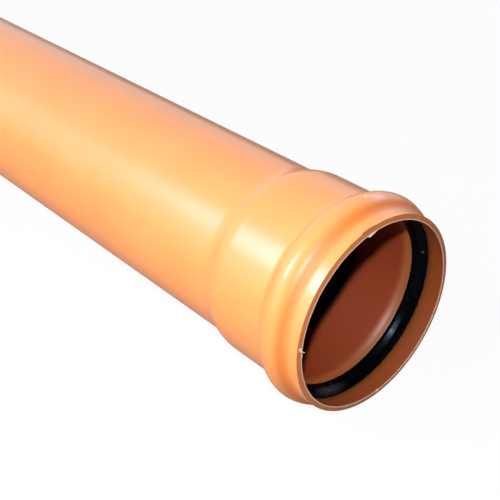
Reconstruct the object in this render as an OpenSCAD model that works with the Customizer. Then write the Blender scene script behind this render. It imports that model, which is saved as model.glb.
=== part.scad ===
// Drain pipe with a belled socket and a rubber sealing ring, lying on its side.
// The axis runs along X with the socket's mouth at the +X end, and the bead rests on Z = 0.

/* [Barrel] */
// Outside diameter of the barrel
barrel_d = 110; // [60:1:200]
// Wall thickness of the barrel and of the socket formed from it
wall = 3.2; // [2:0.1:5]
// Laying length, from the spigot's end to the bottom of the socket
laying_length = 1000; // [250:10:3000]
// Length of the bevel on the spigot's end
bevel_length = 6; // [2:0.5:10]
// Angle of that bevel to the axis
bevel_angle = 15; // [5:1:18]

/* [Socket] */
// Room around the next pipe's spigot, on the radius
spigot_clearance = 0.5; // [0.1:0.05:1.5]
// Depth of the socket, from its mouth to its bottom
socket_depth = 65; // [45:1:120]
// Length over which the socket narrows to the barrel
shoulder_length = 18.8; // [10:0.2:60]
// Depth of the entry lip in front of the ring's groove
lip_depth = 6.6; // [3:0.1:12]
// Extra room inside the entry lip, on the radius
lip_flare = 0.45; // [0:0.05:2]
// Break of the mouth's inner edge
mouth_chamfer = 0.35; // [0.1:0.05:1]
// Rounding of the mouth's outer edge
mouth_round = 0.7; // [0.2:0.1:1.5]

/* [Groove and bead] */
// Depth of the ring's groove below the socket's bore
groove_height = 5.35; // [3:0.05:8]
// Length of the groove's front slope
groove_front = 12.5; // [10.5:0.1:18]
// Length of the groove's level floor
groove_floor = 0.3; // [0.1:0.1:6]
// Length of the groove's rear slope
groove_rear = 12.8; // [10:0.1:18]
// Outside radius where the lip turns up into the bead
front_fillet = 7.2; // [3:0.1:8]
// Outside radius where the bead turns down into the socket
rear_fillet = 5; // [3:0.1:8]

/* [Sealing ring] */
// How far the ring reaches up the groove's front slope, along the axis
ring_front_reach = 5.2; // [3:0.1:6]
// How far the ring reaches up the groove's rear slope, along the axis
ring_rear_reach = 5.9; // [3:0.1:7]
// How far the ring stands inside the spigot's surface, on the radius
ring_squeeze = 1.8; // [0.6:0.1:3]
// Distance from the ring's front edge to its sealing land
ring_rise = 3.4; // [2:0.1:4.5]
// Width of the sealing land
ring_land = 2.8; // [1.5:0.1:3.5]
// Gap between the ring and the groove, on the radius
ring_clearance = 0.1; // [0.05:0.05:0.3]

/* [Hidden] */
$fn = 160;
arc_steps = 9;
slope_steps = 12;
round_steps = 4;

// Radii, from the inside of the socket outwards
barrel_r = barrel_d / 2;
bore_r = barrel_r - wall;
land_r = barrel_r - ring_squeeze;
socket_r = barrel_r + spigot_clearance;
lip_r = socket_r + lip_flare;
groove_r = socket_r + groove_height;
bead_r = groove_r + wall;

// Depths, from the mouth inwards
total_length = laying_length + socket_depth;
floor_start = lip_depth + groove_front;
floor_end = floor_start + groove_floor;
groove_end = floor_end + groove_rear;
shoulder_end = socket_depth + shoulder_length;
ring_start = floor_start - ring_front_reach;
ring_end = floor_end + ring_rear_reach;
land_start = ring_start + ring_rise;
land_end = land_start + ring_land;

// Two arcs that turn a level wall from one radius to another and end level again.
// Their radii add up to the same length for the inner and the outer skin of one wall.
function turn(run, rise) = 2 * atan(abs(rise) / run);
function arc_sum(run, rise) = run / sin(turn(run, rise));

// A section is drawn as [radius, -depth], so that turning it leaves the mouth on top.
function arc(x, r, radius, along, out, angles) = [
    for (a = angles)
        [r + out * radius * (1 - cos(a)), -(x + along * radius * sin(a))]
];
function ogee(x0, r0, x1, r1, first) =
    let (
        step = turn(x1 - x0, r1 - r0) / arc_steps,
        second = arc_sum(x1 - x0, r1 - r0) - first,
        out = sign(r1 - r0)
    )
    concat(
        arc(x0, r0, first, 1, out, [for (i = [0:arc_steps]) i * step]),
        arc(x1, r1, second, -1, -out, [for (i = [arc_steps - 1:-1:0]) i * step])
    );

// One soft face of the ring, level at both ends
function slope(x0, r0, x1, r1) = [
    for (i = [0:slope_steps])
        let (t = i / slope_steps)
        [r0 + (r1 - r0) * (1 - cos(180 * t)) / 2, -(x0 + (x1 - x0) * t)]
];
function reversed(points) = [for (i = [len(points) - 1:-1:0]) points[i]];

// Skins of the bell: extra is 0 for the inner skin and the wall for the outer one.
rear_crown = arc_sum(groove_rear, groove_height) - rear_fillet - wall;
shoulder_crown = (arc_sum(shoulder_length, socket_r - bore_r) - wall) / 2;
function bead_outline(extra) = concat(
    ogee(lip_depth, lip_r + extra, floor_start, groove_r + extra, front_fillet + wall - extra),
    ogee(floor_end, groove_r + extra, groove_end, socket_r + extra, rear_crown + extra)
);
function shoulder_outline(extra) =
    ogee(socket_depth, socket_r + extra, shoulder_end, bore_r + extra, shoulder_crown + extra);

groove_outline = bead_outline(0);
groove_radii = [for (p = groove_outline) [-p[1], p[0]]];
function seat_radius(depth) = lookup(depth, groove_radii) - ring_clearance;

inner_outline = concat(
    [[lip_r + mouth_chamfer, 0], [lip_r, -mouth_chamfer]],
    groove_outline,
    shoulder_outline(0),
    [[bore_r, -total_length]]
);
mouth_corner = [
    for (i = [0:round_steps])
        let (a = 90 * i / round_steps)
        [
            lip_r + wall - mouth_round * (1 - sin(a)),
            -mouth_round * (1 - cos(a))
        ]
];
outer_outline = concat(
    mouth_corner,
    bead_outline(wall),
    shoulder_outline(wall),
    [
        [barrel_r, -(total_length - bevel_length)],
        [barrel_r - bevel_length * tan(bevel_angle), -total_length]
    ]
);

// Turns a section about the pipe's axis and lays it down with the mouth towards +X.
module turned(section) {
    translate([total_length / 2, 0, bead_r])
        rotate([0, 90, 0])
            rotate_extrude()
                polygon(section);
}

// Barrel and socket, one extruded tube whose end was belled over a mandrel
module pipe() {
    color("#e58a4b") turned(concat(outer_outline, reversed(inner_outline)));
}

// Rubber ring that sits in the groove and presses on the next pipe's spigot
module sealing_ring() {
    seat = [
        for (p = groove_outline)
            if (-p[1] > ring_start && -p[1] < ring_end)
                [p[0] - ring_clearance, p[1]]
    ];
    face = concat(
        slope(ring_start, seat_radius(ring_start), land_start, land_r),
        slope(land_end, land_r, ring_end, seat_radius(ring_end))
    );
    color("#17191b") turned(concat(seat, reversed(face)));
}

pipe();
sealing_ring();
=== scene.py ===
import math

import bmesh
import bpy
from mathutils import Matrix, Vector


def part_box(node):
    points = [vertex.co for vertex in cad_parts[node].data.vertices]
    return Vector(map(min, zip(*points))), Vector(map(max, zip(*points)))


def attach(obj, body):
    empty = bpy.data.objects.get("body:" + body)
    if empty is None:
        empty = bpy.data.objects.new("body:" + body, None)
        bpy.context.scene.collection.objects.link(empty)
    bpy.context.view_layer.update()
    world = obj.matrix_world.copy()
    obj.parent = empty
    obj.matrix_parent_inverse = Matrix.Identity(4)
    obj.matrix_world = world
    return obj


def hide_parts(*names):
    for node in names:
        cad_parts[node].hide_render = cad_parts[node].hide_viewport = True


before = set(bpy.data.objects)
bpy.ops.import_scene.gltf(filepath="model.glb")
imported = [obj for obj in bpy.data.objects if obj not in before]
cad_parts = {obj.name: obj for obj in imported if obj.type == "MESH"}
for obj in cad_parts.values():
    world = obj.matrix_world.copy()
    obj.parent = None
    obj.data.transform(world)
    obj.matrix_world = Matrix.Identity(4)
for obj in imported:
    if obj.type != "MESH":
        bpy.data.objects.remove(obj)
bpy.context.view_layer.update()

# Pipe: one tube of orange-brown plastic, extruded in a long run and sawn to length.
# One end is heated and belled over a mandrel, which forms the entry lip, the bead with its
# groove inside, the socket and the shoulder in the tube's own wall. The other end is bevelled.
pipe_low, pipe_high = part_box("pipe")
mouth_x = pipe_high.x
pipe_length = pipe_high.x - pipe_low.x

wall = 0.0032
barrel_radius = 0.055
socket_bore = 0.0555
lip_bore = 0.05595
groove_radius = 0.06085
bevel_length = 0.006
bevel_angle = math.radians(15)
bevel_drop = bevel_length * math.tan(bevel_angle)
lip_depth = 0.0066
groove_floor_start = 0.0191
groove_floor_end = 0.0194
groove_end = 0.0322
socket_depth = 0.065
shoulder_end = 0.0838
front_fillet = 0.0072
rear_fillet = 0.005
rim_back = 0.0007
rim_round = 0.0002
edge_softness = 0.00012
turns = 192
axis_z = groove_radius + wall
mouth_centre = Vector((mouth_x, 0, axis_z))
toward_camera = Vector((0, -0.735, 0.678))
across = Vector((0, 0.678, 0.735))

outer_shade = (0.925, 0.345, 0.086, 1)
outer_light = (0.955, 0.365, 0.096, 1)
cloud_from = 0.3
cloud_to = 0.7
# The groove's and bore's colours are darker, redder copies of the skin's orange: painted shade inside the
# tube.
groove_shaded_colour = (0.375, 0.102, 0.022, 1)
bore_shaded_colour = (0.345, 0.058, 0.0165, 1)
# The deep bore's near-black is a painted shadow.
painted_shadow_colour = (0.012, 0.003, 0.002, 1)
# The hollow between lip and bead is a deeper, darker orange: painted shade.
hollow_shade_colour = (0.84, 0.235, 0.040, 1)
edge_colour = (0.95, 0.60, 0.42, 1)
# The sawn face's saw rings are real, but both its colours are darker than the skin's: painted shade.
rim_shade = (0.57, 0.150, 0.028, 1)
rim_light = (0.69, 0.225, 0.066, 1)
glossiest = 0.21
dullest = 0.29
bore_dulling = 0.24
hollow_dulling = 0.32
sawn_dulling = 0.20
skin_shine = 0.75
streak_scale = (1.2, 260, 260)
streak_strength = 0.02
relief_height = 0.0004
line_depth = 0.0143
line_half = 0.00022
line_middle = (10, 0.0626, line_depth, (0.034, 0.034, 0.034))
line_colour = (0.62, 0.28, 0.20, 1)
skin_marks = (
    (75.8, 0.0577, 0.0003, (0.0014, 0.0014, 0.0014), (0.95, 0.31, 0.03, 1)),
    (52.2, 0.0640, 0.0188, (0.0013, 0.0013, 0.0013), (0.95, 0.72, 0.66, 1)),
    (26.3, 0.0550, 0.1028, (0.0009, 0.0006, 0.0006), (0.45, 0.12, 0.04, 1)),
)


def round_axis(angle, distance, along):
    """A place round the pipe's axis, by its angle from the camera's side, from the mouth's centre."""
    turn = math.radians(angle)
    return (toward_camera * math.cos(turn) + across * math.sin(turn)) * distance + Vector((along, 0, 0))


def arc_sum(run, rise):
    """The radii of a bell slope's two arcs, added up."""
    return run / math.sin(2 * math.atan(rise / run))


def bell_slope(depth0, radius0, depth1, radius1, first):
    """Two corners, with the reach of their rounding, that bend the wall from one radius to another."""
    run = depth1 - depth0
    rise = abs(radius1 - radius0)
    first_reach = first * rise / run
    second_reach = (arc_sum(run, rise) - first) * rise / run
    return [(depth0 + first_reach, radius0, first_reach), (depth1 - second_reach, radius1, second_reach)]


def bell_skin(extra):
    """Corners of the belled end's inner skin, or of its outer skin where extra is the wall."""
    rear_crown = arc_sum(groove_end - groove_floor_end, groove_radius - socket_bore) - rear_fillet - wall
    drop = socket_bore - barrel_radius + wall
    shoulder_crown = (arc_sum(shoulder_end - socket_depth, drop) - wall) / 2
    return (
        bell_slope(lip_depth, lip_bore + extra, groove_floor_start, groove_radius + extra,
                   front_fillet + wall - extra)
        + bell_slope(groove_floor_end, groove_radius + extra, groove_end, socket_bore + extra,
                     rear_crown + extra)
        + bell_slope(socket_depth, socket_bore + extra, shoulder_end, barrel_radius - wall + extra,
                     shoulder_crown + extra)
    )


def mesh_from(bm, name):
    """Makes a mesh from what was modelled."""
    mesh = bpy.data.meshes.new(name)
    bm.to_mesh(mesh)
    bm.free()
    return mesh


def turned_mesh(name, corners, arc_cuts, longest_edge):
    """Rounds the corners of a closed section and turns it about the pipe's axis."""
    short_of_reach = 0.999
    merge_distance = 0.000005
    sharp_angle = math.radians(32)
    bm = bmesh.new()
    section = [bm.verts.new((mouth_x - depth, 0, axis_z + radius)) for depth, radius, reach in corners]
    for start, end in zip(section, section[1:] + section[:1]):
        bm.edges.new((start, end))
    for vert, (depth, radius, reach) in zip(section, corners):
        if reach > 0:
            bmesh.ops.bevel(bm, geom=[vert], offset=reach * short_of_reach, offset_type="OFFSET",
                            affect="VERTICES", segments=arc_cuts, profile=0.5, material=-1)
    for edge in [e for e in bm.edges if e.calc_length() > longest_edge]:
        cuts = int(edge.calc_length() / longest_edge)
        bmesh.ops.subdivide_edges(bm, edges=[edge], cuts=cuts)
    bmesh.ops.remove_doubles(bm, verts=bm.verts[:], dist=merge_distance)
    bmesh.ops.spin(bm, geom=bm.verts[:] + bm.edges[:], cent=(0, 0, axis_z), axis=(1, 0, 0),
                   angle=2 * math.pi, steps=turns, use_merge=True)
    bmesh.ops.remove_doubles(bm, verts=bm.verts[:], dist=merge_distance)
    bmesh.ops.recalc_face_normals(bm, faces=bm.faces[:])
    for face in bm.faces:
        face.smooth = True
    mesh = mesh_from(bm, name)
    mesh.set_sharp_from_angle(angle=sharp_angle)
    return mesh


def into_scene(name, data):
    """Puts an object with this mesh, lamp or lens into the scene."""
    thing = bpy.data.objects.new(name, data)
    bpy.context.scene.collection.objects.link(thing)
    return thing


def place(name, mesh, material):
    """Makes the piece from its mesh, and hangs it on the frame with its finish."""
    piece = into_scene(name, mesh)
    mesh.materials.append(material)
    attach(piece, "root")
    return piece


def feed(tree, sockets, sources):
    """Links each source to its socket, or sets the socket where the source is a plain value."""
    for socket, source in zip(sockets, sources):
        if isinstance(source, bpy.types.NodeSocket):
            tree.links.new(source, socket)
        else:
            socket.default_value = source


def node(tree, kind, **settings):
    """Adds a shader node, with its named sockets fed and its own settings made."""
    made = tree.nodes.new(kind)
    for key, value in settings.items():
        if key in made.inputs:
            feed(tree, [made.inputs[key]], [value])
        else:
            setattr(made, key, value)
    return made


def arithmetic(tree, operation, *terms):
    """The result of an operation on node outputs and plain numbers."""
    worked = node(tree, "ShaderNodeMath", operation=operation)
    feed(tree, worked.inputs, terms)
    return worked.outputs["Value"]


def remap(tree, value, start, end, low, high):
    """Spreads a value's run from start to end over the run from low to high."""
    spread = node(tree, "ShaderNodeMapRange", Value=value)
    sockets = [spread.inputs[name] for name in ("From Min", "From Max", "To Min", "To Max")]
    feed(tree, sockets, (start, end, low, high))
    return spread.outputs["Result"]


def ramp(tree, factor, low_colour, high_colour, low=0.0, high=1.0):
    """A colour that runs from one to another as the factor goes from low to high."""
    run = node(tree, "ShaderNodeValToRGB", Fac=factor)
    first, last = run.color_ramp.elements
    first.position = low
    first.color = low_colour
    last.position = high
    last.color = high_colour
    return run.outputs["Color"]


def blend(tree, factor, under, over):
    """Lays a colour over another where the factor says."""
    laid = node(tree, "ShaderNodeMix", data_type="RGBA", Factor=factor, A=under, B=over)
    return laid.outputs["Result"]


def own_shade(tree, name):
    """How strong one of the mesh's own shades is."""
    return node(tree, "ShaderNodeAttribute", attribute_name=name).outputs["Fac"]


def spot(tree, position, angle, radius, depth, reach):
    """How strong a soft round mark on the skin is: full at its middle and gone at its reach."""
    centre = mouth_centre + round_axis(angle, radius, -depth)
    grow = [1 / length for length in reach]
    shift = [-middle * factor for middle, factor in zip(centre, grow)]
    about = node(tree, "ShaderNodeMapping", Vector=position, Location=shift, Scale=grow)
    ball = node(tree, "ShaderNodeTexGradient", Vector=about.outputs["Vector"], gradient_type="SPHERICAL")
    return ball.outputs["Fac"]


def relief(tree, shader, height, strength):
    """Gives the shader a fine relief."""
    bump = node(tree, "ShaderNodeBump", Strength=strength, Distance=relief_height, Height=height)
    tree.links.new(bump.outputs["Normal"], shader.inputs["Normal"])


def new_finish(name):
    """Starts a material, and gives it with its node tree and its shader."""
    material = bpy.data.materials.new(name)
    material.use_nodes = True
    return material, material.node_tree, material.node_tree.nodes["Principled BSDF"]


def orange_plastic_finish():
    """Satin orange plastic with faint drawn streaks, cloudy colour, a duller bore, and painted shade in the
    bore, the hollow and on the sawn face.
    """
    material, tree, shader = new_finish("orange_plastic")
    position = node(tree, "ShaderNodeTexCoord").outputs["Object"]
    about_axis = node(tree, "ShaderNodeMapping", Vector=position, Location=(0, 0, -axis_z)).outputs["Vector"]
    drawn_out = node(tree, "ShaderNodeMapping", Vector=about_axis, Scale=streak_scale).outputs["Vector"]
    streaks = node(tree, "ShaderNodeTexNoise", Vector=drawn_out, Scale=1.0, Detail=4.0, Roughness=0.6)
    clouds = node(tree, "ShaderNodeTexNoise", Vector=about_axis, Scale=22.0, Detail=5.0, Roughness=0.55)
    saw_rings = node(tree, "ShaderNodeTexWave", Vector=about_axis, Scale=420.0, Distortion=5.0, Detail=3.0,
                     wave_type="RINGS", rings_direction="X")
    cloudy = clouds.outputs["Fac"]
    inside = own_shade(tree, "inside")
    hollow = own_shade(tree, "painted_hollow_shade")
    rim = own_shade(tree, "rim")

    outer = ramp(tree, cloudy, outer_shade, outer_light, cloud_from, cloud_to)
    # Painted shade: the lining's darker, redder colours, the deep bore's near-black, the hollow's deeper
    # orange and the sawn face's darker tone.
    lining = blend(tree, own_shade(tree, "bore"), groove_shaded_colour, bore_shaded_colour)
    sawn = ramp(tree, saw_rings.outputs["Fac"], rim_shade, rim_light)
    skin = blend(tree, inside, outer, lining)
    skin = blend(tree, rim, skin, sawn)
    skin = blend(tree, own_shade(tree, "painted_bore_shadow"), skin, painted_shadow_colour)
    skin = blend(tree, hollow, skin, hollow_shade_colour)
    skin = blend(tree, own_shade(tree, "sawn_edge"), skin, edge_colour)
    for *where, colour_there in skin_marks:
        skin = blend(tree, spot(tree, position, *where), skin, colour_there)
    lengthwise = node(tree, "ShaderNodeSeparateXYZ", Vector=position).outputs["X"]
    off_line = arithmetic(tree, "SUBTRACT", lengthwise, mouth_x - line_depth)
    beside_line = arithmetic(tree, "ABSOLUTE", off_line)
    on_line = remap(tree, beside_line, line_half, 0.0, 0.0, 1.0)
    line_stretch = arithmetic(tree, "MULTIPLY", on_line, spot(tree, position, *line_middle))
    skin = blend(tree, line_stretch, skin, line_colour)
    tree.links.new(skin, shader.inputs["Base Color"])

    dullness = remap(tree, cloudy, 0.0, 1.0, glossiest, dullest)
    for part, dulling in ((inside, bore_dulling), (hollow, hollow_dulling), (rim, sawn_dulling)):
        dullness = arithmetic(tree, "MULTIPLY_ADD", part, dulling, dullness)
    tree.links.new(dullness, shader.inputs["Roughness"])
    relief(tree, shader, streaks.outputs["Fac"], streak_strength)
    shader.inputs["Specular IOR Level"].default_value = skin_shine
    return material


orange_plastic = orange_plastic_finish()

# Where the painted shadow in the bore starts and ends, leaning a little to one side.
painted_shadow_from = 0.0622
painted_shadow_to = 0.0668
painted_shadow_slant = 0.0014
pale_full = 0.16
pale_end = 0.22
pale_fade = 0.0009
outer_corners = (
    [(rim_back, lip_bore + wall, rim_round)]
    + bell_skin(wall)
    + [(pipe_length - bevel_length, barrel_radius, edge_softness),
       (pipe_length, barrel_radius - bevel_drop, edge_softness)]
)
inner_skin = bell_skin(0)
inner_corners = (
    [(rim_back * share, lip_bore + wall * share, 0) for share in (pale_end, pale_full)]
    + [(0, lip_bore, edge_softness), (pale_fade, lip_bore, 0)]
    + inner_skin[:4]
    + [(painted_shadow_from + aside, socket_bore, 0) for aside in (-painted_shadow_slant, 0, painted_shadow_slant)]
    + inner_skin[4:]
    + [(pipe_length, barrel_radius - wall, edge_softness)]
)
pipe_mesh = turned_mesh("pipe_tube", outer_corners + inner_corners[::-1], arc_cuts=10, longest_edge=0.04)

rim_facing = 0.5
rim_depth = 0.001
lip_fade = 0.002
lip_lining = 0.6
socket_margin = 0.0002
socket_fade = 0.0008
spigot_light = 0.15
hollow_from = 0.0062
hollow_to = 0.0150
edge_depth = 0.0005
edge_width = 0.00062
shade_names = ("inside", "bore", "painted_bore_shadow", "painted_hollow_shade", "rim", "sawn_edge")
shades = {name: [0.0] * len(pipe_mesh.vertices) for name in shade_names}
for vert in pipe_mesh.vertices:
    outwards = Vector((0, vert.co.y, vert.co.z - axis_z))
    depth = mouth_x - vert.co.x
    if vert.normal.x > rim_facing and depth < rim_depth:
        shades["rim"][vert.index] = 1
    elif vert.normal.dot(outwards) < 0 and depth > 0:
        shades["inside"][vert.index] = 1
        # The bore shade chooses between the two painted-shade lining colours.
        past_the_lip = (depth - lip_depth) / lip_fade
        before_the_socket = (outwards.length - socket_bore - socket_margin) / socket_fade
        shades["bore"][vert.index] = 1 - max(0, min(1, past_the_lip, before_the_socket))
        if depth < lip_depth + lip_fade:
            shades["bore"][vert.index] *= lip_lining
        # Beyond the socket the bore is painted nearly black, a painted shadow that fades out near the spigot
        # end.
        aside = painted_shadow_slant * outwards.normalized().dot(across)
        into_barrel = (depth + aside - painted_shadow_from) / (painted_shadow_to - painted_shadow_from)
        out_of_barrel = (pipe_length - depth) / spigot_light
        shades["painted_bore_shadow"][vert.index] = max(0, min(1, into_barrel, out_of_barrel))
    # The hollow between the lip and the bead gets painted shade, deepest in its middle.
    elif hollow_from < depth < hollow_to:
        into_hollow = (depth - hollow_from) / (hollow_to - hollow_from)
        shades["painted_hollow_shade"][vert.index] = math.sin(math.pi * into_hollow)
    if depth < edge_depth and outwards.length < lip_bore + edge_width:
        shades["sawn_edge"][vert.index] = 1
for name, values in shades.items():
    pipe_mesh.attributes.new(name, "FLOAT", "POINT").data.foreach_set("value", values)
pipe_tube = place("pipe_tube", pipe_mesh, orange_plastic)
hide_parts("pipe")

# Rim shavings: the burr, the torn flake and the small chips that the saw left along the mouth's edge.
# They are the pipe's own plastic, thin enough to have gone pale, and still hang on by a root.
burr_pale = (0.90, 0.56, 0.40, 1)
torn_pale = (0.98, 0.78, 0.64, 1)
torn_white = (0.99, 0.93, 0.87, 1)
whitening_from = 0.35
whitening_to = 0.6
torn_glossiest = 0.3
torn_dullest = 0.6
root_depth = 0.0004
root_rise = 0.0004
thinnest = 0.02
fewest_steps = 12
steps_a_degree = 3


def torn_plastic_finish(name, deep, pale):
    """Thin sawn plastic, patchily whitened where it was bent and torn."""
    material, tree, shader = new_finish(name)
    position = node(tree, "ShaderNodeTexCoord").outputs["Object"]
    tears = node(tree, "ShaderNodeTexNoise", Vector=position, Scale=900.0, Detail=3.0, Roughness=0.6)
    whitened = ramp(tree, tears.outputs["Fac"], deep, pale, whitening_from, whitening_to)
    tree.links.new(whitened, shader.inputs["Base Color"])
    dullness = remap(tree, tears.outputs["Fac"], 0.0, 1.0, torn_glossiest, torn_dullest)
    tree.links.new(dullness, shader.inputs["Roughness"])
    return material


def rim_shaving(name, material, edge_radius, corners, start, end, peak, sway=0.0, waves=0.0):
    """A strip along the rim between two angles, thickest at its peak and thinned into its root."""
    bm = bmesh.new()
    section = [bm.verts.new(mouth_centre + round_axis(start, edge_radius + rise, -depth))
               for depth, rise in corners]
    bmesh.ops.contextual_create(bm, geom=section)
    steps = max(fewest_steps, int(end - start) * steps_a_degree)
    bmesh.ops.spin(bm, geom=bm.verts[:] + bm.edges[:] + bm.faces[:], cent=mouth_centre, axis=(-1, 0, 0),
                   angle=math.radians(end - start), steps=steps)
    for vert in bm.verts:
        arm = vert.co - mouth_centre
        angle = math.degrees(math.atan2(arm.dot(across), arm.dot(toward_camera)))
        part = ((angle - start) % 360) / (end - start)
        nearness = part / peak if part < peak else (1 - part) / (1 - peak)
        fullness = math.sqrt(max(thinnest, min(1, nearness))) * (1 + sway * math.sin(angle * waves))
        root = mouth_centre + round_axis(angle, edge_radius + root_rise, -root_depth)
        vert.co = root + (vert.co - root) * fullness
        vert.co.x = min(vert.co.x, mouth_x)
    bmesh.ops.recalc_face_normals(bm, faces=bm.faces[:])
    mesh = mesh_from(bm, name)
    mesh.attributes.new("rim", "FLOAT", "POINT").data.foreach_set("value", [1.0] * len(mesh.vertices))
    place(name, mesh, material)


burr_plastic = torn_plastic_finish("burr_plastic", rim_light, burr_pale)
torn_plastic = torn_plastic_finish("torn_plastic", torn_pale, torn_white)
burr_corners = ((0.0001, 0.0002), (0.0002, -0.0005), (0.0007, 0.0001))
flake_corners = ((0.0016, 0.0002), (0.0, -0.0013), (0.0003, -0.0016), (0.0018, -0.0002))
drop_corners = ((0.0007, 0.0010), (0.0, 0.0001), (0.0004, -0.0010), (0.0010, -0.0002))
nick_corners = ((0.0, 0.0010), (0.0, -0.0004), (0.0007, -0.0004), (0.0009, 0.0006))
chip_corners = ((0.0003, -0.0006), (0.0003, 0.0010), (0.0010, 0.0012), (0.0016, -0.0002))
rim_shaving("burr", burr_plastic, lip_bore, burr_corners, -66, 84, 0.5, sway=0.1, waves=0.31)
rim_shaving("flake", torn_plastic, lip_bore, flake_corners, 34.8, 43.5, 0.16)
rim_shaving("drop", torn_plastic, lip_bore, drop_corners, -43.2, -39.8, 0.35)
rim_shaving("chip", orange_plastic, lip_bore + wall, chip_corners, 31.6, 41.0, 0.12)
rim_shaving("nick", torn_plastic, lip_bore, nick_corners, -140.6, -137.8, 0.5)

# Swarf curl: a thread of sawn plastic that has rolled up on the rim and clings there.
# It is the pipe's plastic, whitened by bending, and its tail hangs into the mouth.
curl_angle = -37.2
curl_radius = 0.0572
curl_turn = math.radians(300)
curl_steps = 20
thread_wide = 0.00048
thread_high = 0.00028
loop_radius = 0.0009
tail_angle = -40.4
tail_radius = 0.0538
tail_depth = 0.0003
tail_steps = 5
tail_taper = 0.86
curl_centre = mouth_centre + round_axis(curl_angle, curl_radius, -thread_high)
tail_end = mouth_centre + round_axis(tail_angle, tail_radius, -tail_depth)
outward = round_axis(curl_angle, 1, 0)
swarf_bm = bmesh.new()
thread = [swarf_bm.verts.new(curl_centre + outward * (loop_radius + side) + Vector((lift, 0, 0)))
          for side, lift in ((-thread_wide, 0), (0, -thread_high), (thread_wide, 0), (0, thread_high))]
bmesh.ops.contextual_create(swarf_bm, geom=thread)
curled = bmesh.ops.spin(swarf_bm, geom=swarf_bm.verts[:] + swarf_bm.edges[:] + swarf_bm.faces[:],
                        cent=curl_centre, axis=(-1, 0, 0), angle=curl_turn, steps=curl_steps)
tip = next(part for part in curled["geom_last"] if isinstance(part, bmesh.types.BMFace))
stride = (tail_end - tip.calc_center_median()) / tail_steps
for stretch in range(tail_steps):
    grown = bmesh.ops.extrude_face_region(swarf_bm, geom=[tip] + tip.edges[:] + tip.verts[:])["geom"]
    tip = next(part for part in grown if isinstance(part, bmesh.types.BMFace))
    bmesh.ops.translate(swarf_bm, vec=stride, verts=tip.verts[:])
    bmesh.ops.scale(swarf_bm, vec=(tail_taper, tail_taper, tail_taper), verts=tip.verts[:],
                    space=Matrix.Translation(-tip.calc_center_median()))
bmesh.ops.recalc_face_normals(swarf_bm, faces=swarf_bm.faces[:])
place("swarf_curl", mesh_from(swarf_bm, "swarf_curl"), torn_plastic)

# Sealing ring: a moulded ring of black rubber, pressed into the bead's groove by hand.
# Its crest stands inside the bore and grips the next pipe's spigot.
ring_low, ring_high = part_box("sealing_ring")
ring_front = mouth_x - ring_high.x
ring_rear = mouth_x - ring_low.x
ring_outside = (ring_high.z - ring_low.z) / 2
seat_front_radius = 0.05882
seat_rear_radius = 0.05879
nose_depth = 0.0022
nose_drop = 0.0002
heel_depth = 0.0026
heel_drop = 0.0004
crest_radius = 0.0532
crest_front = ring_front + 0.0063
crest_rear = ring_front + 0.0076
throat_depth = 0.0026
throat_radius = 0.0553
seat_round = 0.0004
shoulder_round = 0.0016
crest_round = 0.0006
throat_round = 0.0010
ring_corners = [
    (ring_front, seat_front_radius, seat_round),
    (ring_front + nose_depth, ring_outside - nose_drop, shoulder_round),
    (groove_floor_start, ring_outside, seat_round),
    (groove_floor_end, ring_outside, seat_round),
    (ring_rear - heel_depth, ring_outside - heel_drop, shoulder_round),
    (ring_rear, seat_rear_radius, seat_round),
    (crest_rear, crest_radius, crest_round),
    (crest_front, crest_radius, crest_round),
    (ring_front + throat_depth, throat_radius, throat_round),
]

rubber_deep = (0.0006, 0.0006, 0.0008, 1)
rubber_film = (0.0022, 0.0024, 0.0030, 1)
film_thin = 0.3
film_thick = 0.7
rubber_glossiest = 0.16
rubber_dullest = 0.42
rubber_shine = 0.075
rubber_tint = (0.5, 0.78, 1.0, 1)
dust_colour = (0.06, 0.065, 0.07, 1)
dust_edge = 0.055
dust_middle = 0.035
grain_strength = 0.07
# The first rubber mark is a painted grey sheen on the seal, the second a speck of dust.
rubber_dust_and_sheen = (
    (-115.6, 0.0557, 0.0164, (0.0026, 0.0150, 0.0150), (0.085, 0.094, 0.115, 1)),
    (126.7, 0.0563, 0.0158, (0.0010, 0.0010, 0.0010), (0.28, 0.29, 0.31, 1)),
)


def black_rubber_finish():
    """Moulded black rubber with a soft sheen, fine mould grain, a few specks of dust and a painted grey
    sheen.
    """
    material, tree, shader = new_finish("black_rubber")
    position = node(tree, "ShaderNodeTexCoord").outputs["Object"]
    film = node(tree, "ShaderNodeTexNoise", Vector=position, Scale=180.0, Detail=4.0, Roughness=0.6)
    specks = node(tree, "ShaderNodeTexVoronoi", Vector=position, Scale=140.0)
    scuffs = node(tree, "ShaderNodeTexNoise", Vector=position, Scale=620.0, Detail=5.0, Roughness=0.7,
                  Distortion=1.2)
    filmy = film.outputs["Fac"]
    skin = ramp(tree, filmy, rubber_deep, rubber_film)
    dust = remap(tree, specks.outputs["Distance"], dust_edge, dust_middle, 0.0, 1.0)
    skin = blend(tree, dust, skin, dust_colour)
    # A painted sheen and a speck of dust, each mottled by the film.
    for *where, colour_there in rubber_dust_and_sheen:
        patch = arithmetic(tree, "MULTIPLY", spot(tree, position, *where), filmy)
        skin = blend(tree, patch, skin, colour_there)
    tree.links.new(skin, shader.inputs["Base Color"])
    dullness = remap(tree, filmy, film_thin, film_thick, rubber_glossiest, rubber_dullest)
    tree.links.new(dullness, shader.inputs["Roughness"])
    relief(tree, shader, scuffs.outputs["Fac"], grain_strength)
    shader.inputs["Specular IOR Level"].default_value = rubber_shine
    shader.inputs["Specular Tint"].default_value = rubber_tint
    return material


black_rubber = black_rubber_finish()
ring_mesh = turned_mesh("seal", ring_corners, arc_cuts=8, longest_edge=0.01)
seal = place("seal", ring_mesh, black_rubber)
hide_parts("sealing_ring")

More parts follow.
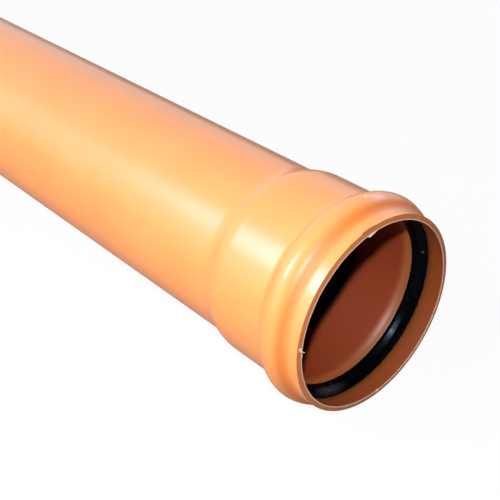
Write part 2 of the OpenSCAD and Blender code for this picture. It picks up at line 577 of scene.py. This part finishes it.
# Floor: a sheet of white paper that the pipe lies on, laid out far past the picture's edges.
# The camera and reflections see it as the white ground, with the pipe's shadow kept faintly on it.
floor_size = 10.0
paper_grey = 0.22
paper_white = 0.95
glow_reflected = 0.12
glow_seen = 0.94


def either(tree, factor, first, second):
    """The first shader, giving way to the second as the factor rises."""
    mixed = node(tree, "ShaderNodeMixShader")
    feed(tree, mixed.inputs, (factor, first, second))
    return mixed.outputs["Shader"]


def white_paper_finish():
    """White paper that keeps shadows, brightened where it is seen directly or in a reflection."""
    material, tree, paper = new_finish("white_paper")
    paper.inputs["Base Color"].default_value = (paper_grey, paper_grey, paper_grey, 1)
    paper.inputs["Roughness"].default_value = 1.0
    paper.inputs["Specular IOR Level"].default_value = 0.0
    ray = node(tree, "ShaderNodeLightPath").outputs
    tone = remap(tree, ray["Is Camera Ray"], 0.0, 1.0, paper_grey, paper_white)
    share = remap(tree, ray["Is Camera Ray"], 0.0, 1.0, glow_reflected, glow_seen)
    shaded = node(tree, "ShaderNodeBsdfDiffuse", Color=tone).outputs["BSDF"]
    glow = node(tree, "ShaderNodeEmission", Color=(1, 1, 1, 1), Strength=1.0).outputs["Emission"]
    direct = arithmetic(tree, "MAXIMUM", ray["Is Camera Ray"], ray["Is Glossy Ray"])
    through = arithmetic(tree, "MAXIMUM", direct, ray["Is Transmission Ray"])
    whole = either(tree, through, paper.outputs["BSDF"], either(tree, share, shaded, glow))
    tree.links.new(whole, tree.nodes["Material Output"].inputs["Surface"])
    return material


floor_bm = bmesh.new()
bmesh.ops.create_grid(floor_bm, x_segments=1, y_segments=1, size=floor_size)
floor_mesh = mesh_from(floor_bm, "floor")
floor_mesh.materials.append(white_paper_finish())
floor = into_scene("floor", floor_mesh)

# Studio: oval soft boxes on the camera's side light the pipe and draw the highlights along it, and a
# blue strip behind it draws the reflection along its top. A small lamp beside the camera reaches into
# the mouth. Some boxes are only reflected and some only light. The world is dim, and white to the camera.
lilac = (0.86, 0.58, 1.0)
pale_lilac = (0.94, 0.86, 1.0)
blue = (0.50, 0.52, 1.0)
barrel_aim = Vector((-0.25, 0, 0))
mouth_aim = Vector((0, 0, 0))
middle_aim = Vector((-0.5, 0, 0))


def stand(thing, offset, side, up, back):
    """Stands a lamp or the camera at an offset from the mouth's centre, turned as its axes say."""
    turn = Matrix((side, up, back)).transposed()
    thing.matrix_world = Matrix.Translation(mouth_centre + offset) @ turn.to_4x4()


def soft_box(name, offset, aim, size, power, colour=(1, 1, 1), lights=True, reflects=True):
    """An oval soft light at an offset from the mouth's centre, turned to face its aim."""
    lamp = bpy.data.lights.new(name, "AREA")
    lamp.shape = "ELLIPSE"
    lamp.size, lamp.size_y = size
    lamp.energy = power
    lamp.color = colour
    box = into_scene(name, lamp)
    box.visible_diffuse = lights
    box.visible_glossy = reflects
    back = (offset - aim).normalized()
    side = (Vector((1, 0, 0)) - back * back.x).normalized()
    stand(box, offset, side, back.cross(side), back)


soft_box("key", round_axis(-1, 1.0, -0.62), barrel_aim, (0.66, 0.60), 5.6, lilac)
soft_box("glint", round_axis(-1, 1.0, -0.64), barrel_aim, (0.22, 0.40), 2.4, lilac, lights=False)
soft_box("sheen", round_axis(-5, 1.2, -1.60), barrel_aim, (1.3, 0.7), 1.4, pale_lilac, lights=False)
soft_box("panel", round_axis(-16, 1.24, -0.60), barrel_aim, (1.2, 1.2), 14.4, reflects=False)
soft_box("low_fill", round_axis(-50, 1.0, -0.50), barrel_aim, (0.9, 0.4), 3.4, reflects=False)
soft_box("back_strip", Vector((-0.20, 0.90, 0.53)), barrel_aim, (0.9, 0.10), 1.9, blue)
soft_box("back_fill", Vector((-0.45, 1.1, 0.08)), middle_aim, (1.4, 0.2), 2.7, reflects=False)
soft_box("mouth_lamp", Vector((0.2429, -0.3124, 0.3532)), mouth_aim, (0.02, 0.02), 2.65)

dim_turn = 0.15
far_side = 1.0
mouth_side = 0.02
room_light = 0.12
room_reflected = 1.2
world = bpy.data.worlds.new("studio")
bpy.context.scene.world = world
world.use_nodes = True
sky = world.node_tree
look = node(sky, "ShaderNodeLightPath").outputs
direction = node(sky, "ShaderNodeTexCoord").outputs["Generated"]
lengthwise = node(sky, "ShaderNodeSeparateXYZ", Vector=direction).outputs["X"]
dim_side = remap(sky, lengthwise, -dim_turn, dim_turn, far_side, mouth_side)
level = remap(sky, look["Is Glossy Ray"], 0.0, 1.0, room_light, room_reflected)
room = sky.nodes["Background"]
room.inputs["Color"].default_value = (1, 1, 1, 1)
sky.links.new(arithmetic(sky, "MULTIPLY", dim_side, level), room.inputs["Strength"])
white = node(sky, "ShaderNodeBackground", Color=(1, 1, 1, 1), Strength=1.0)
shown = either(sky, look["Is Camera Ray"], room.outputs["Background"], white.outputs["Background"])
sky.links.new(shown, sky.nodes["World Output"].inputs["Surface"])

# Camera: above the mouth on its near side, looking back along the pipe as the photograph does.
# The lens is longer than a normal one, and the barrel runs out of the picture on the left.
camera_offset = Vector((0.27085, -0.3279, 0.3022))
camera_right = Vector((0.6583, 0.7528, 0.0))
camera_up = Vector((-0.3968, 0.3470, 0.8498))
camera_back = Vector((0.6397, -0.5594, 0.5271))
lens = bpy.data.cameras.new("camera")
lens.lens = 68.7
lens.sensor_width = 36.0
lens.clip_start = 0.01
camera = into_scene("camera", lens)
stand(camera, camera_offset, camera_right, camera_up, camera_back)
bpy.context.scene.camera = camera
bpy.context.scene.view_settings.view_transform = "Standard"
